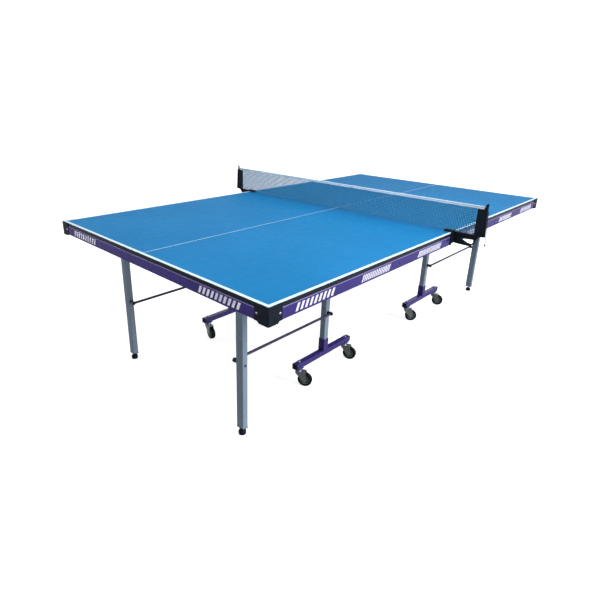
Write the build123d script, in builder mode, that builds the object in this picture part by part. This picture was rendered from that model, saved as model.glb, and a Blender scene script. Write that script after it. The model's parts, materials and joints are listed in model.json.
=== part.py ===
"""Rollaway ping pong table: two folding halves on wheeled carriages and a clamp-on net.

Frame: millimetres, origin on the floor under the middle of the table, X along the length,
Y across, Z up.  Half "a" stands on the -X side and half "b" on the +X side; "right" is the
-Y side and "left" the +Y side.  Every sub-part is written as its own STEP file in parts/.
"""

import os
from math import cos, pi, radians, sin, tan

from build123d import *

# ---------------------------------------------------------------- playing surface
TABLE_LENGTH = 2740.0
TABLE_WIDTH = 1525.0
TABLE_HEIGHT = 760.0
BOARD_THICK = 18.0
BOARD_GAP = 4.0             # between the two boards, so that each can swing on its own
BOARD_EDGE_BREAK = 0.8

BOARD_UNDER = TABLE_HEIGHT - BOARD_THICK
HALF_LENGTH = (TABLE_LENGTH - BOARD_GAP) / 2
END_X = TABLE_LENGTH / 2
SIDE_Y = TABLE_WIDTH / 2

# ---------------------------------------------------------------- steel apron and corner caps
STEEL = 2.0                 # wall of the folded steel parts
APRON_BOTTOM = 697.0
APRON_START = 60.0          # the side rails stop short of the net, where the clamp grips
APRON_FLANGE = 25.0         # flange screwed to the underside of the board

CAP_PROUD = 4.0             # how far a corner cap stands out of the board's edge
CAP_WING = 66.0             # length of each wing along the edge
CAP_LIP_BOTTOM = 690.0
CAP_LIP_WING = 52.0
CAP_LIP_WIDTH = 14.0
CAP_CORNER_R = 6.0
SCREW_FROM_CORNER = 55.0
SCREW_Z = 725.0
SCREW_R = 2.0
SCREW_HEAD_R = 4.6
SCREW_HEAD_H = 2.2
SCREW_LENGTH = 14.0

# ---------------------------------------------------------------- hinges under the board
BEAM_HEIGHT = 20.0
BEAM_WIDTH = 30.0
BEAM_WALL = 1.5
BEAM_HALF_SPAN = 735.0
INNER_BEAM_X = 50.0
HINGE_Z = 700.0
HINGE_BORE_R = 4.02         # in the brackets, which hold the bolts
PIVOT_BORE_R = 4.06         # running clearance in whatever turns on a bolt
BOLT_R = 4.0
BRACKET_PLATE = 3.0
BRACKET_LENGTH = 40.0
BRACKET_EAR_R = 13.0
BRACKET_SIDE_GAP = 1.0
BOLT_HEAD_R = 6.5
BOLT_HEAD_H = 4.5
LINK_HEAD_R = 5.0           # low round heads where the rods bolt to the end legs
LINK_HEAD_H = 2.5

# ---------------------------------------------------------------- end legs
LEG_X = 1205.0
LEG_Y = 450.0
LEG_DX = 28.0
LEG_DY = 42.0
LEG_WALL = 1.5
LEG_BOTTOM = 38.0
TUBE_TOP = HINGE_Z + 6.0
LEG_CROSS_Z = 655.0
LEG_CROSS_R = 10.0
PLUG_FLANGE = 3.0
PLUG_RIM = 1.0              # the flange stands out round the tube
PLUG_DEPTH = 22.0
LEVELLER_R = 17.0
LEVELLER_STEM_R = 5.0
LEVELLER_STEM_TOP = 80.0
LEVELLER_CHAMFER = 1.5
LEVELLER_RIM_Z = 13.0       # the foot is straight up to here, and then domed
LEVELLER_DOME_Z = 23.0
LEVELLER_DOME_IN = 9.0
LEVELLER_FOOT_H = 24.0
STEM_CLEARANCE = 0.06

# ---------------------------------------------------------------- link rods
ROD_Z = 350.0
ROD_Y = 406.0
ROD_R = 6.5
ROD_EYE_R = 10.0
ROD_EYE_HALF = 5.5          # half the thickness of an eye
ROD_END_GAP = 9.0           # the round rod stops this far from the eye's centre
ROD_OPEN_BORE_R = 4.3       # at the end leg, a little slack
SPACER_R = 8.5
SPACER_GAP = 0.3

# ---------------------------------------------------------------- wheeled carriage
UPRIGHT_X = 548.0
UPRIGHT_Y = 370.0
UPRIGHT_SIZE = 33.0
UPRIGHT_WALL = 2.0
CROSS_Z = 600.0
CROSS_R = 12.5
BASE_LENGTH = 456.0
BASE_WIDTH = 32.0
BASE_HEIGHT = 30.0
BASE_TOP = 129.0
BASE_WALL = 2.0
SLEEVE_SIZE = 38.0
SLEEVE_TOP = 197.0
SLEEVE_CLEARANCE = 0.2
BASE_PLUG = 4.0
SADDLE_LENGTH = 38.0
SADDLE_PLATE = 4.0
SADDLE_CHEEK = 16.0

# ---------------------------------------------------------------- casters
CASTER_OFFSET = 196.0       # swivel axis from the upright, along the base
WHEEL_R = 37.5
WHEEL_WIDTH = 24.0
HUB_R = 25.0
TYRE_GAP = 0.03             # keeps the tyre and the hub two solids
TRAIL = 35.0
FORK_TOP = 90.6
FORK_CROWN_Z = 80.0
FORK_R = 17.0
FORK_PLATE = 2.5
FORK_SIDE_GAP = 1.2
AXLE_R = 4.0
STEM_R = 5.0
NUT_R = 9.0
NUT_H = 8.0
# Direction in which each caster trails, in degrees from +X, as the table was left standing.
TRAIL_ANGLE = {
    ("a", "right", "outer"): -63.0,
    ("a", "right", "inner"): -72.0,
    ("a", "left", "outer"): -100.0,
    ("a", "left", "inner"): -80.0,
    ("b", "right", "inner"): -52.0,
    ("b", "right", "outer"): -70.0,
    ("b", "left", "inner"): -66.0,
    ("b", "left", "outer"): -84.0,
}

# ---------------------------------------------------------------- net
NET_X = -5.0                # the net stands on the edge of half "a"
NET_TOP = TABLE_HEIGHT + 152.5
NET_BOTTOM = 768.0
NET_THICK = 1.4
TAPE_HEIGHT = 15.0
TAPE_WALL = 0.8
TAPE_HALF = 890.0
POST_THICK = 3.0
POST_INNER_Y = 860.0
POST_OUTER_Y = 917.0
POST_TOP_OUTER_Y = 909.0
POST_TOP_Z = 905.0
POST_PEG_Z = 928.0
PEG_WIDTH = 14.0
PEG_TAPER = 1.0
PEG_SLOPE = 6.0             # the peg's top slopes down inwards by this much
RIM_WIDTH = 2.5             # folded rim along the post's outer edge
RIM_DEPTH = 7.0
SHELF_DEPTH = 12.0          # folded shelf along the foot of the post
SHELF_END = 6.0
CLAMP_X_LOW = -56.0
CLAMP_X_HIGH = -3.5
JAW_TIP_Y = 716.0
JAW_TOP = 765.0
FINGER_THICK = 11.0         # the upper jaw is one stiff finger on the board
FINGER_WIDTH = 22.0
FINGER_CHAMFER = 3.0
FINGER_X = -24.0
CLAMP_WEB = 4.0
CLAMP_WEB_GAP = 1.5
LOWER_JAW_Z = 705.0
LOWER_JAW_Y = 733.0
CLAMP_SCREW_X = -24.0
CLAMP_SCREW_Y = 750.0
CLAMP_SCREW_R = 4.0
CLAMP_PAD_R = 9.0
CLAMP_KNOB_R = 11.0
CLAMP_KNOB_H = 9.0
CLAMP_KNOB_GAP = 3.0
CLAMP_PAD_H = 3.0
LOBES = 5
LOBE_R = 3.5
NUT_DROP = 2.0              # the nut welded in the lower jaw, below and above it
NUT_RISE = 3.0
# Outline of the gusset's foot from the clamp outwards, and of the window in it, as (y, z).
GUSSET_FOOT = [
    (772.0, 702.0), (842.0, 700.0), (858.0, 706.0), (871.0, 722.0), (874.0, 738.0),
    (882.0, 747.0), (889.0, 755.0), (895.0, 758.0), (917.0, 760.0),
]
GUSSET_WINDOW = [(799.0, 733.0), (862.0, 737.0), (864.0, 724.0), (855.0, 714.0), (836.0, 717.0)]
CORD_R = 1.25
CORD_X = -5.0
BEAD_R = 4.0
BEAD_TOP_R = 2.25
BEAD_FOOT_R = 1.75
BEAD_H = 11.0
# Route of the tension cord down the outer edge of the right-hand post, as (y, z).
CORD_ROUTE = [(-912.4, 889.0), (-914.6, 848.0), (-917.6, 806.0), (-921.0, 765.0), (-922.0, 726.0)]

HALVES = {"a": -1, "b": 1}
SIDES = {"right": -1, "left": 1}

os.makedirs("parts", exist_ok=True)


def finish(builder, node):
    """Label the finished sub-part and write it."""
    builder.part.label = node
    export_step(builder.part, f"parts/{node}.step")


def side_plane(x, y, z):
    """Sketch plane across the table: local x is +X, local y is +Z, normal is -Y."""
    return Plane(origin=(x, y, z), x_dir=(1, 0, 0), z_dir=(0, -1, 0))


def end_plane(x, y, z):
    """Sketch plane along the table: local x is +Y, local y is +Z, normal is +X."""
    return Plane(origin=(x, y, z), x_dir=(0, 1, 0), z_dir=(1, 0, 0))


# ================================================================ top of each half
def make_tabletop(half, sx):
    """Wood board, with its upper edges broken."""
    with BuildPart() as board:
        with BuildSketch(Plane.XY.offset(BOARD_UNDER)):
            with Locations((sx * (BOARD_GAP / 2 + HALF_LENGTH / 2), 0)):
                Rectangle(HALF_LENGTH, TABLE_WIDTH)
        extrude(amount=BOARD_THICK)
        chamfer(board.faces().sort_by(Axis.Z)[-1].edges(), BOARD_EDGE_BREAK)
    finish(board, f"tabletop_{half}")


def cap_screw_planes(sx, sy):
    """The outer faces where one corner cap is screwed on: one on the end, one on the side."""
    outer_x = END_X + CAP_PROUD
    outer_y = SIDE_Y + CAP_PROUD
    on_end = Plane(
        origin=(sx * outer_x, sy * (outer_y - SCREW_FROM_CORNER), SCREW_Z),
        x_dir=(0, 1, 0), z_dir=(sx, 0, 0),
    )
    on_side = Plane(
        origin=(sx * (outer_x - SCREW_FROM_CORNER), sy * outer_y, SCREW_Z),
        x_dir=(1, 0, 0), z_dir=(0, sy, 0),
    )
    return [on_end, on_side]


def all_screw_planes(sx):
    """The four cap screws of one half."""
    return cap_screw_planes(sx, -1) + cap_screw_planes(sx, 1)


def u_frame(sx, start, out_x, out_y, wall):
    """Sketch of a U round one half: two side strips and an end strip, open at the net."""
    middle_x = sx * (start + out_x) / 2
    with Locations((middle_x, 0)):
        Rectangle(out_x - start, 2 * out_y)
    with Locations((middle_x - sx * wall, 0)):
        Rectangle(out_x - start, 2 * (out_y - wall), mode=Mode.SUBTRACT)


def make_apron(half, sx):
    """Folded steel apron: an upright web round the board's edge and a flange under it."""
    with BuildPart() as apron:
        with BuildSketch(Plane.XY.offset(APRON_BOTTOM)):
            u_frame(sx, APRON_START, END_X + STEEL, SIDE_Y + STEEL, STEEL)
        extrude(amount=BOARD_UNDER - APRON_BOTTOM)
        with BuildSketch(Plane.XY.offset(BOARD_UNDER - STEEL)):
            u_frame(sx, APRON_START, END_X, SIDE_Y, APRON_FLANGE)
        extrude(amount=STEEL)
        with BuildSketch(*all_screw_planes(sx)):
            Circle(SCREW_R)
        extrude(amount=-SCREW_LENGTH, mode=Mode.SUBTRACT)
    finish(apron, f"apron_{half}")


def corner_l(sx, sy, out_x, out_y, wing, wall):
    """Sketch of an L at one corner; out_x, out_y is the outer corner, wing its leg length."""
    with Locations((sx * (out_x - wing / 2), sy * (out_y - wing / 2))):
        Rectangle(wing, wing)
    with Locations((sx * (out_x - wing / 2 - wall), sy * (out_y - wing / 2 - wall))):
        Rectangle(wing, wing, mode=Mode.SUBTRACT)


def make_corner_caps(half, sx):
    """Moulded corner caps that wrap the board's corner and the apron's corner."""
    outer_x = END_X + CAP_PROUD
    outer_y = SIDE_Y + CAP_PROUD
    with BuildPart() as caps:
        for sy in SIDES.values():
            with BuildSketch(Plane.XY.offset(BOARD_UNDER)):
                corner_l(sx, sy, outer_x, outer_y, CAP_WING, CAP_PROUD)
            extrude(amount=BOARD_THICK)
            with BuildSketch(Plane.XY.offset(APRON_BOTTOM)):
                corner_l(sx, sy, outer_x, outer_y, CAP_WING, CAP_PROUD - STEEL)
            extrude(amount=BOARD_UNDER - APRON_BOTTOM)
            with BuildSketch(Plane.XY.offset(CAP_LIP_BOTTOM)):
                corner_l(sx, sy, outer_x, outer_y, CAP_LIP_WING, CAP_LIP_WIDTH)
            extrude(amount=APRON_BOTTOM - CAP_LIP_BOTTOM)
        lip_ends = caps.edges().group_by(Axis.Z)[0].group_by(SortBy.LENGTH)[0]
        chamfer(lip_ends, APRON_BOTTOM - CAP_LIP_BOTTOM - 0.5)
        upright_edges = caps.edges().filter_by(Axis.Z).group_by(lambda edge: abs(edge.center().Y))[-1]
        corner_edges = upright_edges.group_by(lambda edge: abs(edge.center().X))[-1]
        fillet(corner_edges, CAP_CORNER_R)
        with BuildSketch(*all_screw_planes(sx)):
            Circle(SCREW_R)
        extrude(amount=-SCREW_LENGTH, mode=Mode.SUBTRACT)
    finish(caps, f"corner_caps_{half}")


def make_cap_screws(half, sx):
    """Pan-head screws that hold the corner caps to the apron."""
    with BuildPart() as screws:
        with BuildSketch(*all_screw_planes(sx)):
            Circle(SCREW_R)
        extrude(amount=-SCREW_LENGTH)
        with BuildSketch(*all_screw_planes(sx)):
            Circle(SCREW_HEAD_R)
        extrude(amount=SCREW_HEAD_H, taper=25)
    finish(screws, f"cap_screws_{half}")


def make_under_beams(half, sx):
    """Rectangular tubes across the underside of the board, which carry the hinges."""
    with BuildPart() as beams:
        for x in (INNER_BEAM_X, UPRIGHT_X, LEG_X):
            with BuildSketch(side_plane(sx * x, 0, BOARD_UNDER - BEAM_HEIGHT / 2)):
                RectangleRounded(BEAM_WIDTH, BEAM_HEIGHT, 2.5)
                Rectangle(BEAM_WIDTH - 2 * BEAM_WALL, BEAM_HEIGHT - 2 * BEAM_WALL, mode=Mode.SUBTRACT)
            extrude(amount=BEAM_HALF_SPAN, both=True)
    finish(beams, f"under_beams_{half}")


def hinge_places(sx):
    """Each hinge of one half as (x, y, width of the tube that it holds)."""
    places = []
    for sy in SIDES.values():
        places.append((sx * UPRIGHT_X, sy * UPRIGHT_Y, UPRIGHT_SIZE))
        places.append((sx * LEG_X, sy * LEG_Y, LEG_DY))
    return places


def make_hinge_brackets(half, sx):
    """U-shaped steel brackets under the beams, one for each leg and each upright."""
    plate_z = BOARD_UNDER - BEAM_HEIGHT - BRACKET_PLATE
    with BuildPart() as brackets:
        for x, y, width in hinge_places(sx):
            inner = width / 2 + BRACKET_SIDE_GAP
            with BuildSketch(Plane.XY.offset(plate_z)):
                with Locations((x, y)):
                    Rectangle(BRACKET_LENGTH, 2 * (inner + BRACKET_PLATE))
            extrude(amount=BRACKET_PLATE)
            for ear in (-1, 1):
                ear_y = y + ear * (inner + BRACKET_PLATE / 2)
                with BuildSketch(side_plane(x, ear_y, HINGE_Z)):
                    Circle(BRACKET_EAR_R)
                    with BuildLine():
                        Polyline(
                            (-BRACKET_EAR_R, 0),
                            (-BRACKET_LENGTH / 2, plate_z - HINGE_Z),
                            (BRACKET_LENGTH / 2, plate_z - HINGE_Z),
                            (BRACKET_EAR_R, 0),
                            close=True,
                        )
                    make_face()
                    Circle(HINGE_BORE_R, mode=Mode.SUBTRACT)
                extrude(amount=BRACKET_PLATE / 2, both=True)
    finish(brackets, f"hinge_brackets_{half}")


def make_hinge_bolts(half, sx):
    """The bolts on which the legs and the uprights turn: shank, hexagon head and nut."""
    with BuildPart() as bolts:
        for x, y, width in hinge_places(sx):
            reach = width / 2 + BRACKET_SIDE_GAP + BRACKET_PLATE
            with BuildSketch(side_plane(x, y, HINGE_Z)):
                Circle(BOLT_R)
            extrude(amount=reach, both=True)
            for end in (-1, 1):
                with BuildSketch(side_plane(x, y + end * (reach + BOLT_HEAD_H / 2), HINGE_Z)):
                    RegularPolygon(BOLT_HEAD_R, 6)
                extrude(amount=BOLT_HEAD_H / 2, both=True)
    finish(bolts, f"hinge_bolts_{half}")


# ================================================================ end legs of each half
def make_end_legs(half, sx):
    """Two rectangular tube legs, welded to a cross tube just under the board."""
    with BuildPart() as legs:
        for sy in SIDES.values():
            with BuildSketch(Plane.XY.offset(LEG_BOTTOM)):
                with Locations((sx * LEG_X, sy * LEG_Y)):
                    RectangleRounded(LEG_DX, LEG_DY, 3)
                    RectangleRounded(LEG_DX - 2 * LEG_WALL, LEG_DY - 2 * LEG_WALL, 1.5, mode=Mode.SUBTRACT)
            extrude(amount=TUBE_TOP - LEG_BOTTOM)
        with BuildSketch(side_plane(sx * LEG_X, 0, LEG_CROSS_Z)):
            Circle(LEG_CROSS_R)
            Circle(LEG_CROSS_R - LEG_WALL, mode=Mode.SUBTRACT)
        extrude(amount=LEG_Y - LEG_DY / 2 + LEG_WALL / 2, both=True)
        for z, radius in ((HINGE_Z, PIVOT_BORE_R), (ROD_Z, HINGE_BORE_R)):
            with BuildSketch(side_plane(sx * LEG_X, 0, z)):
                Circle(radius)
            extrude(amount=LEG_Y + LEG_DY, both=True, mode=Mode.SUBTRACT)
    finish(legs, f"end_legs_{half}")


def make_leg_plugs(half, sx):
    """Plastic plugs in the feet of the legs, bored for the levellers' stems."""
    with BuildPart() as plugs:
        for sy in SIDES.values():
            with BuildSketch(Plane.XY.offset(LEG_BOTTOM - PLUG_FLANGE)):
                with Locations((sx * LEG_X, sy * LEG_Y)):
                    RectangleRounded(LEG_DX + 2 * PLUG_RIM, LEG_DY + 2 * PLUG_RIM, 3)
                    Circle(LEVELLER_STEM_R + STEM_CLEARANCE, mode=Mode.SUBTRACT)
            extrude(amount=PLUG_FLANGE)
            with BuildSketch(Plane.XY.offset(LEG_BOTTOM)):
                with Locations((sx * LEG_X, sy * LEG_Y)):
                    Rectangle(LEG_DX - 2 * LEG_WALL - 1.5, LEG_DY - 2 * LEG_WALL - 1.5)
                    Circle(LEVELLER_STEM_R + STEM_CLEARANCE, mode=Mode.SUBTRACT)
            extrude(amount=PLUG_DEPTH)
    finish(plugs, f"leg_plugs_{half}")


def make_leveller(half, sx, side, sy):
    """Height adjuster: a domed foot on a threaded stem."""
    with BuildPart() as leveller:
        with BuildSketch(side_plane(sx * LEG_X, sy * LEG_Y, 0)):
            with BuildLine():
                dome_r = LEVELLER_R - LEVELLER_DOME_IN
                Line((0, 0), (LEVELLER_R - LEVELLER_CHAMFER, 0))
                Line((LEVELLER_R - LEVELLER_CHAMFER, 0), (LEVELLER_R, LEVELLER_CHAMFER))
                Line((LEVELLER_R, LEVELLER_CHAMFER), (LEVELLER_R, LEVELLER_RIM_Z))
                TangentArc((LEVELLER_R, LEVELLER_RIM_Z), (dome_r, LEVELLER_DOME_Z), tangent=(0, 1))
                Line((dome_r, LEVELLER_DOME_Z), (LEVELLER_STEM_R, LEVELLER_FOOT_H))
                Line((LEVELLER_STEM_R, LEVELLER_FOOT_H), (LEVELLER_STEM_R, LEVELLER_STEM_TOP))
                Line((LEVELLER_STEM_R, LEVELLER_STEM_TOP), (0, LEVELLER_STEM_TOP))
                Line((0, LEVELLER_STEM_TOP), (0, 0))
            make_face()
        revolve(axis=Axis((sx * LEG_X, sy * LEG_Y, 0), (0, 0, 1)))
    finish(leveller, f"leveller_{half}_{side}")


def make_link_bolts(half, sx):
    """Bolts through the legs for the link rods, each with a spacer and a keeper."""
    rod_in = ROD_Y - ROD_EYE_HALF
    rod_out = ROD_Y + ROD_EYE_HALF
    leg_in = LEG_Y - LEG_DY / 2
    leg_out = LEG_Y + LEG_DY / 2
    with BuildPart() as bolts:
        for sy in SIDES.values():
            shank_low = rod_in - SPACER_GAP
            with BuildSketch(side_plane(sx * LEG_X, sy * (shank_low + leg_out) / 2, ROD_Z)):
                Circle(BOLT_R)
            extrude(amount=(leg_out - shank_low) / 2, both=True)
            pieces = (
                (shank_low - LINK_HEAD_H, shank_low, LINK_HEAD_R + 0.5),
                (rod_out + SPACER_GAP, leg_in, SPACER_R),
                (leg_out, leg_out + LINK_HEAD_H, LINK_HEAD_R),
            )
            for low, high, radius in pieces:
                with BuildSketch(side_plane(sx * LEG_X, sy * (low + high) / 2, ROD_Z)):
                    Circle(radius)
                extrude(amount=(high - low) / 2, both=True)
    finish(bolts, f"link_bolts_{half}")


def make_link_rods(half, sx):
    """Round rods with an eye at each end, which keep the end legs upright as the half folds."""
    with BuildPart() as rods:
        for sy in SIDES.values():
            for x in (UPRIGHT_X, LEG_X):
                with BuildSketch(side_plane(sx * x, sy * ROD_Y, ROD_Z)):
                    Circle(ROD_EYE_R)
                extrude(amount=ROD_EYE_HALF, both=True)
            with BuildSketch(end_plane(sx * (UPRIGHT_X + LEG_X) / 2, sy * ROD_Y, ROD_Z)):
                Circle(ROD_R)
            extrude(amount=(LEG_X - UPRIGHT_X) / 2 - ROD_END_GAP, both=True)
        for x, bore in ((UPRIGHT_X, PIVOT_BORE_R), (LEG_X, ROD_OPEN_BORE_R)):
            with BuildSketch(side_plane(sx * x, 0, ROD_Z)):
                Circle(bore)
            extrude(amount=LEG_Y, both=True, mode=Mode.SUBTRACT)
    finish(rods, f"link_rods_{half}")


# ================================================================ carriage of each half
def make_uprights(half, sx):
    """Two square uprights and the cross tube between them, welded together."""
    with BuildPart() as uprights:
        for sy in SIDES.values():
            with BuildSketch(Plane.XY.offset(BASE_TOP)):
                with Locations((sx * UPRIGHT_X, sy * UPRIGHT_Y)):
                    inner = UPRIGHT_SIZE - 2 * UPRIGHT_WALL
                    RectangleRounded(UPRIGHT_SIZE, UPRIGHT_SIZE, 3)
                    RectangleRounded(inner, inner, 1, mode=Mode.SUBTRACT)
            extrude(amount=TUBE_TOP - BASE_TOP)
        with BuildSketch(side_plane(sx * UPRIGHT_X, 0, CROSS_Z)):
            Circle(CROSS_R)
            Circle(CROSS_R - UPRIGHT_WALL, mode=Mode.SUBTRACT)
        extrude(amount=UPRIGHT_Y - UPRIGHT_SIZE / 2 + UPRIGHT_WALL / 2, both=True)
        for z, radius in ((HINGE_Z, PIVOT_BORE_R), (ROD_Z, HINGE_BORE_R)):
            with BuildSketch(side_plane(sx * UPRIGHT_X, 0, z)):
                Circle(radius)
            extrude(amount=UPRIGHT_Y + UPRIGHT_SIZE, both=True, mode=Mode.SUBTRACT)
    finish(uprights, f"uprights_{half}")


def caster_places(sx):
    """Swivel axes of one half's casters as (side, place, x, y)."""
    places = []
    for side, sy in SIDES.items():
        places.append((side, "inner", sx * (UPRIGHT_X - CASTER_OFFSET), sy * UPRIGHT_Y))
        places.append((side, "outer", sx * (UPRIGHT_X + CASTER_OFFSET), sy * UPRIGHT_Y))
    return places


def make_bases(half, sx):
    """Base tubes with the upright's socket on top and a saddle under each caster's place."""
    middle_z = BASE_TOP - BASE_HEIGHT / 2
    saddle_z = BASE_TOP - BASE_HEIGHT - SADDLE_PLATE
    with BuildPart() as bases:
        for sy in SIDES.values():
            with BuildSketch(end_plane(sx * UPRIGHT_X, sy * UPRIGHT_Y, middle_z)):
                RectangleRounded(BASE_WIDTH, BASE_HEIGHT, 3)
            extrude(amount=BASE_LENGTH / 2 - BASE_PLUG, both=True)
            with BuildSketch(Plane.XY.offset(BASE_TOP - 1)):
                with Locations((sx * UPRIGHT_X, sy * UPRIGHT_Y)):
                    RectangleRounded(SLEEVE_SIZE, SLEEVE_SIZE, 3)
            extrude(amount=SLEEVE_TOP - BASE_TOP + 1)
        for _, _, x, y in caster_places(sx):
            with BuildSketch(end_plane(x, y, saddle_z)):
                with Locations((0, SADDLE_CHEEK / 2)):
                    Rectangle(BASE_WIDTH + 4, SADDLE_CHEEK)
            extrude(amount=SADDLE_LENGTH / 2, both=True)
        for sy in SIDES.values():
            with BuildSketch(end_plane(sx * UPRIGHT_X, sy * UPRIGHT_Y, middle_z)):
                Rectangle(BASE_WIDTH - 2 * BASE_WALL, BASE_HEIGHT - 2 * BASE_WALL)
            extrude(amount=BASE_LENGTH / 2, both=True, mode=Mode.SUBTRACT)
            with BuildSketch(Plane.XY.offset(BASE_TOP)):
                with Locations((sx * UPRIGHT_X, sy * UPRIGHT_Y)):
                    socket = UPRIGHT_SIZE + 2 * SLEEVE_CLEARANCE
                    RectangleRounded(socket, socket, 1)
            extrude(amount=SLEEVE_TOP - BASE_TOP, mode=Mode.SUBTRACT)
        with BuildSketch(Plane.XY.offset(saddle_z)):
            with Locations(*[(x, y) for _, _, x, y in caster_places(sx)]):
                Circle(STEM_R)
        extrude(amount=BASE_HEIGHT + SADDLE_PLATE, mode=Mode.SUBTRACT)
    finish(bases, f"bases_{half}")


def make_base_plugs(half, sx):
    """Plastic plugs in the ends of the base tubes."""
    middle_z = BASE_TOP - BASE_HEIGHT / 2
    with BuildPart() as plugs:
        for sy in SIDES.values():
            for end in (-1, 1):
                face_x = sx * UPRIGHT_X + end * (BASE_LENGTH / 2 - BASE_PLUG)
                with BuildSketch(end_plane(face_x, sy * UPRIGHT_Y, middle_z)):
                    RectangleRounded(BASE_WIDTH, BASE_HEIGHT, 3)
                extrude(amount=end * BASE_PLUG)
                with BuildSketch(end_plane(face_x, sy * UPRIGHT_Y, middle_z)):
                    Rectangle(BASE_WIDTH - 2 * BASE_WALL - 0.4, BASE_HEIGHT - 2 * BASE_WALL - 0.4)
                extrude(amount=-end * 10)
    finish(plugs, f"base_plugs_{half}")


def make_caster_stems(half, sx):
    """Caster stems: upper race, threaded stem through the base and a nut on top."""
    saddle_z = BASE_TOP - BASE_HEIGHT - SADDLE_PLATE
    with BuildPart() as stems:
        for _, _, x, y in caster_places(sx):
            layers = (
                (FORK_CROWN_Z - 2.4, FORK_CROWN_Z - 0.4, STEM_R + 3),
                (FORK_CROWN_Z - 0.4, BASE_TOP + NUT_H + 2, STEM_R),
                (FORK_TOP + 0.4, saddle_z, FORK_R - 1),
            )
            for low, high, radius in layers:
                with BuildSketch(Plane.XY.offset(low)):
                    with Locations((x, y)):
                        Circle(radius)
                extrude(amount=high - low)
            with BuildSketch(Plane.XY.offset(BASE_TOP)):
                with Locations((x, y)):
                    RegularPolygon(NUT_R, 6)
            extrude(amount=NUT_H)
    finish(stems, f"caster_stems_{half}")


def make_link_pins(half, sx):
    """Pins through the uprights for the link rods, each with a long spacer."""
    rod_in = ROD_Y - ROD_EYE_HALF
    rod_out = ROD_Y + ROD_EYE_HALF
    upright_in = UPRIGHT_Y - UPRIGHT_SIZE / 2
    upright_out = UPRIGHT_Y + UPRIGHT_SIZE / 2
    shank_high = rod_out + SPACER_GAP
    with BuildPart() as pins:
        for sy in SIDES.values():
            with BuildSketch(side_plane(sx * UPRIGHT_X, sy * (upright_in + shank_high) / 2, ROD_Z)):
                Circle(BOLT_R)
            extrude(amount=(shank_high - upright_in) / 2, both=True)
            pieces = (
                (upright_in - BOLT_HEAD_H, upright_in, BOLT_HEAD_R),
                (upright_out, rod_in - SPACER_GAP, SPACER_R),
                (shank_high, shank_high + BOLT_HEAD_H, BOLT_HEAD_R + 0.5),
            )
            for low, high, radius in pieces:
                with BuildSketch(side_plane(sx * UPRIGHT_X, sy * (low + high) / 2, ROD_Z)):
                    Circle(radius)
                extrude(amount=(high - low) / 2, both=True)
    finish(pins, f"link_pins_{half}")


def trail_plane(x, y, z, angle):
    """Upright sketch plane through a swivel axis: local x is the way the caster trails."""
    along = (cos(radians(angle)), sin(radians(angle)), 0)
    across = (sin(radians(angle)), -cos(radians(angle)), 0)
    return Plane(origin=(x, y, z), x_dir=along, z_dir=across)


def make_fork(node, x, y, angle):
    """Swivel fork: a crown with a race on it, two side plates and the riveted axle."""
    inner = WHEEL_WIDTH / 2 + FORK_SIDE_GAP
    plane = trail_plane(x, y, 0, angle)
    with BuildPart() as fork:
        with BuildSketch(plane.offset(-(inner + FORK_PLATE))):
            with BuildLine():
                Line((-FORK_R + 2, FORK_CROWN_Z + 3), (-FORK_R + 4, FORK_CROWN_Z - 8))
                Line((-FORK_R + 4, FORK_CROWN_Z - 8), (TRAIL - 10, WHEEL_R - 6))
                ThreePointArc((TRAIL - 10, WHEEL_R - 6), (TRAIL + 2, WHEEL_R - 11), (TRAIL + 11, WHEEL_R))
                Line((TRAIL + 11, WHEEL_R), (TRAIL + 4, FORK_CROWN_Z + 3))
                Line((TRAIL + 4, FORK_CROWN_Z + 3), (-FORK_R + 2, FORK_CROWN_Z + 3))
            make_face()
        extrude(amount=2 * (inner + FORK_PLATE))
        with BuildSketch(plane.offset(-inner)):
            with Locations((TRAIL / 2, FORK_CROWN_Z / 2)):
                Rectangle(4 * WHEEL_R, FORK_CROWN_Z)
        extrude(amount=2 * inner, mode=Mode.SUBTRACT)
        with BuildSketch(Plane.XY.offset(FORK_CROWN_Z)):
            with Locations((x, y)):
                Circle(FORK_R)
        extrude(amount=FORK_TOP - FORK_CROWN_Z)
        with BuildSketch(Plane.XY.offset(FORK_CROWN_Z)):
            with Locations((x, y)):
                Circle(STEM_R + STEM_CLEARANCE)
        extrude(amount=FORK_TOP - FORK_CROWN_Z, mode=Mode.SUBTRACT)
        for radius, reach in ((AXLE_R, inner), (AXLE_R + 2.5, inner + FORK_PLATE + 2)):
            low = 0 if radius == AXLE_R else inner + FORK_PLATE
            for sign in (-1, 1):
                with BuildSketch(plane.offset(sign * low)):
                    with Locations((TRAIL, WHEEL_R)):
                        Circle(radius)
                extrude(amount=sign * (reach - low))
    finish(fork, node)


def make_wheel(node, x, y, angle):
    """Caster wheel: a hub with a bore and a dished face, and the tyre round it."""
    plane = trail_plane(x, y, 0, angle)
    axle = plane.from_local_coords((TRAIL, WHEEL_R, 0))
    half_width = WHEEL_WIDTH / 2
    axis = Axis(axle, plane.z_dir)
    section = Plane(origin=axle, x_dir=(0, 0, 1), z_dir=plane.x_dir)
    with BuildPart() as wheel:
        with BuildSketch(section):
            with BuildLine():
                Polyline(
                    (AXLE_R + STEM_CLEARANCE, -half_width),
                    (10, -half_width),
                    (12, -half_width + 4),
                    (21, -half_width + 4),
                    (22, -half_width + 1.5),
                    (HUB_R, -half_width + 1.5),
                    (HUB_R, half_width - 1.5),
                    (22, half_width - 1.5),
                    (21, half_width - 4),
                    (12, half_width - 4),
                    (10, half_width),
                    (AXLE_R + STEM_CLEARANCE, half_width),
                    close=True,
                )
            make_face()
        revolve(axis=axis)
        with BuildSketch(section) as tread:
            with Locations(((HUB_R + TYRE_GAP + WHEEL_R) / 2, 0)):
                Rectangle(WHEEL_R - HUB_R - TYRE_GAP, WHEEL_WIDTH - 2)
            fillet(tread.vertices().group_by(Axis.Z)[-1], 5)
        revolve(axis=axis)
    finish(wheel, node)


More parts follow.
